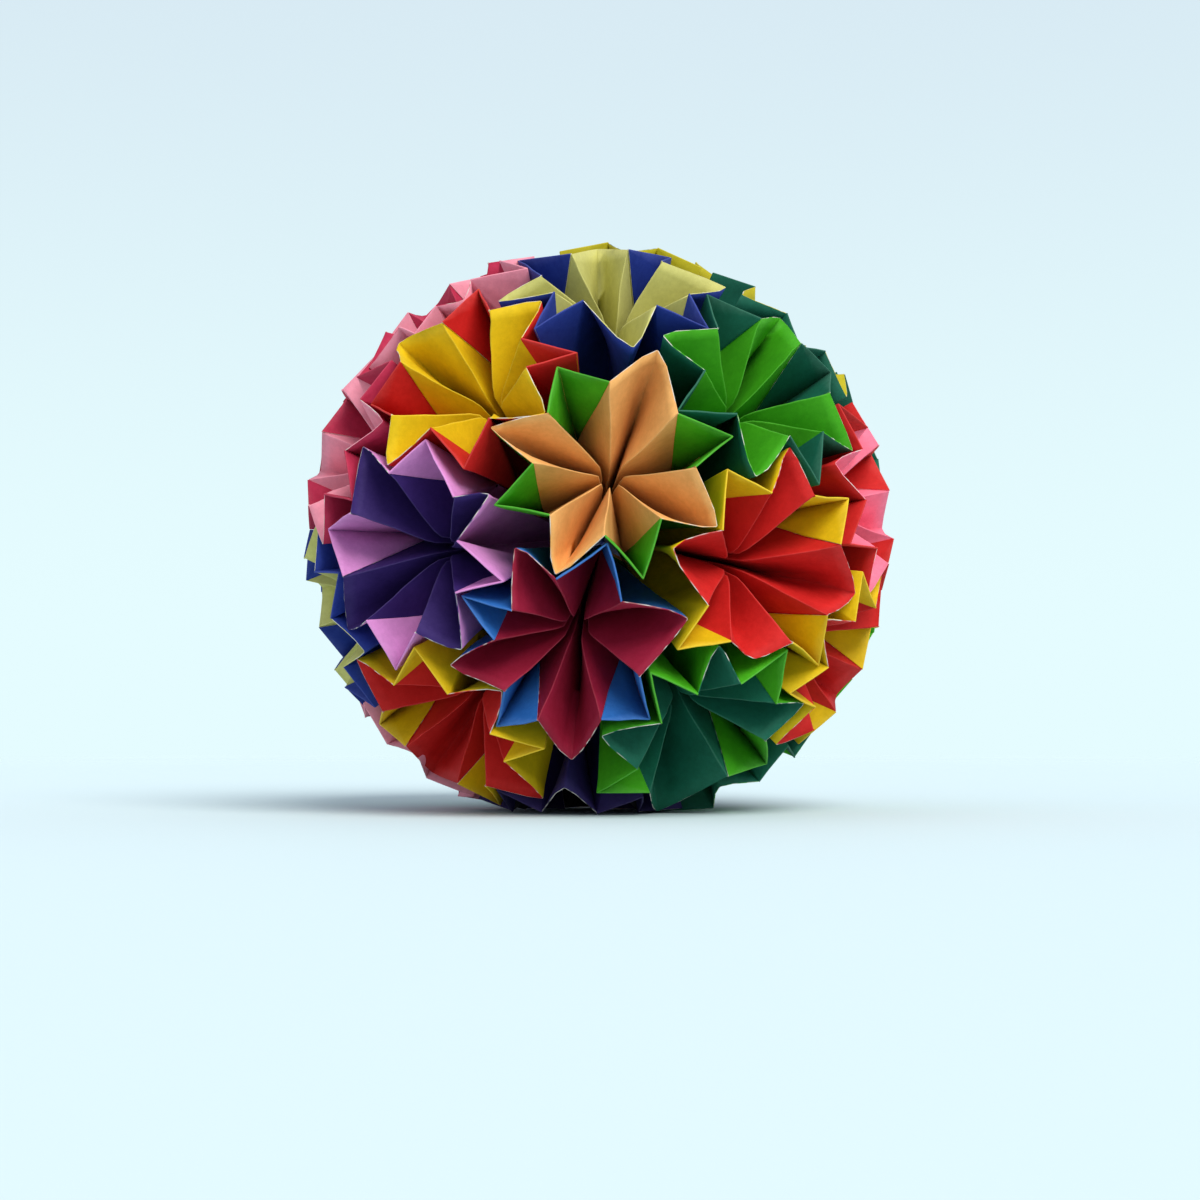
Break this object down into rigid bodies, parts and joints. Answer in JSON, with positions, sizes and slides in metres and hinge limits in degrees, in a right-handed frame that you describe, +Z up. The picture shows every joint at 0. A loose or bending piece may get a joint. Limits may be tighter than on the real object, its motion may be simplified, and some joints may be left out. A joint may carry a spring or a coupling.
{
  "type": "kusudama paper ball",
  "caption": "Hollow ornamental ball of folded two-colour paper flowers glued together at their petals.",
  "frame": {"origin": "on the surface the ball rests on, under the middle of its bounding box", "axes": "+Z up, -Y towards the viewer of the picture's side"},
  "size_m": [0.1488, 0.1502, 0.1446],
  "materials": {
    "black_paper": "matt",
    "cream_paper": "matt",
    "dark_green_paper": "matt",
    "light_green_paper": "matt",
    "maroon_paper": "matt",
    "olive_paper": "matt",
    "pink_paper": "matt",
    "purple_paper": "matt",
    "red_paper": "matt",
    "rose_paper": "matt",
    "sky_blue_paper": "matt",
    "tan_paper": "matt",
    "yellow_paper": "matt"
  },
  "bodies": {
    "root": {"tan_flower": "tan_paper", "maroon_flower": "maroon_paper", "green_flower": "light_green_paper", "yellow_flower": "yellow_paper", "purple_flower": "purple_paper", "red_flower": "red_paper", "cream_flower": "cream_paper", "low_red_flower": "red_paper", "dark_green_flower": "dark_green_paper", "bottom_black_flower": "black_paper", "left_pink_flower": "pink_paper", "high_left_pink_flower": "rose_paper", "low_left_cream_flower": "cream_paper", "high_right_olive_flower": "olive_paper", "right_pink_flower": "pink_paper", "right_red_flower": "red_paper", "low_right_green_flower": "light_green_paper", "back_flower_01": "olive_paper", "back_flower_02": "pink_paper", "back_flower_03": "tan_paper", "back_flower_04": "maroon_paper", "back_flower_05": "yellow_paper", "back_flower_06": "cream_paper", "back_flower_07": "dark_green_paper", "back_flower_08": "rose_paper", "back_flower_09": "purple_paper", "back_flower_10": "pink_paper", "back_flower_11": "dark_green_paper", "back_flower_12": "red_paper", "back_flower_13": "light_green_paper", "back_flower_14": "sky_blue_paper", "back_flower_15": "red_paper", "back_flower_16": "tan_paper", "back_flower_17": "cream_paper"}
  },
  "joints": []
}
